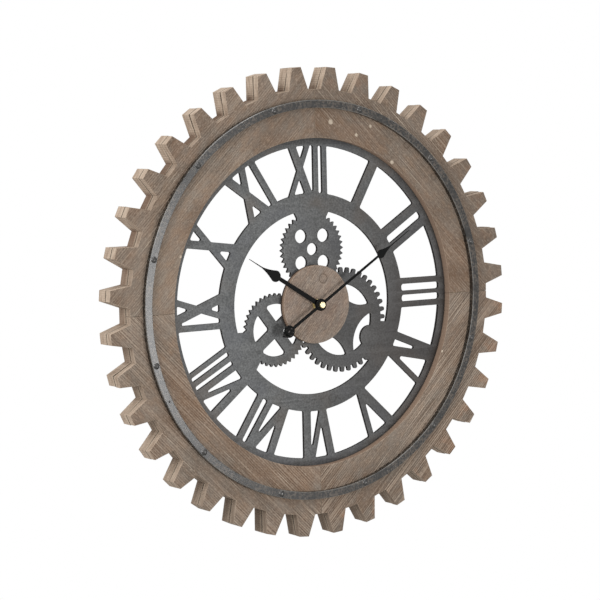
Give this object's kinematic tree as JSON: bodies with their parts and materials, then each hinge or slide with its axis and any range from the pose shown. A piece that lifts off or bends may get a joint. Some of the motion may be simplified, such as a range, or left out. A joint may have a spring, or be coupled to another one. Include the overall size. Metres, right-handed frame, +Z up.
{
  "type": "wall clock",
  "caption": "Round wall clock in the form of a toothed wooden gear, with a metal hoop, a pierced metal dial with Roman numerals and ornamental gears, and a battery movement.",
  "frame": {"origin": "centre of the round hanger hole on the wall plane, which is the back face of the back ring", "axes": "+Y into the wall, so the dial faces -Y; +Z up to 12 o'clock; +X to 3 o'clock"},
  "size_m": [0.5988, 0.0399, 0.5988],
  "materials": {
    "front_wood": "weathered grey-brown, sawn",
    "back_wood": "sawn, paler than the front",
    "disc_wood": "weathered grey-brown",
    "dark_iron": "dark gunmetal, satin",
    "dark_screw": "dark, satin",
    "dial_metal": "dark grey, mottled",
    "zinc_steel": "zinc plated",
    "black_hand": "black, satin",
    "brass": "turned",
    "case_plastic": "black, fine texture",
    "gasket_rubber": "black sheet rubber",
    "wheel_plastic": "natural",
    "knob_plastic": "red",
    "magnet": "sintered",
    "soft_iron": "stamped sheet",
    "copper_wire": "wound lacquered wire",
    "board_resin": "green lacquer",
    "crystal_can": "drawn can",
    "cell_skin": "plain sleeve",
    "contact_steel": "nickel plated"
  },
  "bodies": {
    "frame": {"board_upper_right": "front_wood", "board_lower_right": "front_wood", "board_lower_left": "front_wood", "board_upper_left": "front_wood", "back_ring": "back_wood", "board_screws": "zinc_steel", "hoop": "dark_iron", "hoop_screws": "dark_screw", "hoop_pins": "dark_screw", "dial": "dial_metal", "centre_disc": "disc_wood", "disc_screws": "zinc_steel", "hanger_plate": "zinc_steel", "hanger_screws": "zinc_steel", "front_case": "case_plastic", "back_case": "case_plastic", "gasket": "gasket_rubber", "washer": "brass", "bush_nut": "brass", "stator": "soft_iron", "coil": "copper_wire", "circuit_board": "board_resin", "crystal": "crystal_can", "battery": "cell_skin", "contact_plus": "contact_steel", "contact_minus": "contact_steel"},
    "minute": {"minute_arbor": "wheel_plastic", "minute_hand": "black_hand", "hand_nut": "brass"},
    "hour": {"hour_wheel": "wheel_plastic", "hour_hand": "black_hand"},
    "motion": {"motion_wheel": "wheel_plastic"},
    "setting": {"setting_knob": "knob_plastic"},
    "rotor": {"rotor": "magnet"},
    "fifth": {"fifth_wheel": "wheel_plastic"},
    "seconds": {"seconds_wheel": "wheel_plastic"},
    "third": {"third_wheel": "wheel_plastic"},
    "centre": {"centre_wheel": "wheel_plastic"}
  },
  "joints": [
    {"name": "minute_turn", "type": "hinge", "parent": "frame", "child": "minute", "pos_m": [0, 0, -0.2428], "axis": [0, 1, 0], "continuous": true},
    {"name": "hour_turn", "type": "hinge", "parent": "frame", "child": "hour", "pos_m": [0, 0, -0.2428], "axis": [0, 1, 0], "continuous": true},
    {"name": "motion_turn", "type": "hinge", "parent": "frame", "child": "motion", "pos_m": [0.01182, 0, -0.24072], "axis": [0, 1, 0], "continuous": true},
    {"name": "setting_turn", "type": "hinge", "parent": "frame", "child": "setting", "pos_m": [0.01857, 0, -0.22902], "axis": [0, 1, 0], "continuous": true},
    {"name": "rotor_turn", "type": "hinge", "parent": "frame", "child": "rotor", "pos_m": [0.00818, 0, -0.22902], "axis": [0, 1, 0], "continuous": true},
    {"name": "fifth_turn", "type": "hinge", "parent": "frame", "child": "fifth", "pos_m": [0.00109, 0, -0.22777], "axis": [0, 1, 0], "continuous": true},
    {"name": "seconds_turn", "type": "hinge", "parent": "frame", "child": "seconds", "pos_m": [-0.00731, 0, -0.22777], "axis": [0, 1, 0], "continuous": true},
    {"name": "third_turn", "type": "hinge", "parent": "frame", "child": "third", "pos_m": [-0.00982, 0, -0.23713], "axis": [0, 1, 0], "continuous": true},
    {"name": "centre_turn", "type": "hinge", "parent": "frame", "child": "centre", "pos_m": [0, 0, -0.2428], "axis": [0, 1, 0], "continuous": true}
  ],
  "couplings": [
    {"joint": "hour_turn", "follows": "minute_turn", "ratio": 0.083333},
    {"joint": "motion_turn", "follows": "minute_turn", "ratio": -0.33333},
    {"joint": "setting_turn", "follows": "minute_turn", "ratio": 0.66667},
    {"joint": "fifth_turn", "follows": "rotor_turn", "ratio": -0.2},
    {"joint": "seconds_turn", "follows": "rotor_turn", "ratio": 0.033333},
    {"joint": "third_turn", "follows": "rotor_turn", "ratio": -0.0044444},
    {"joint": "centre_turn", "follows": "rotor_turn", "ratio": 0.00055556}
  ]
}
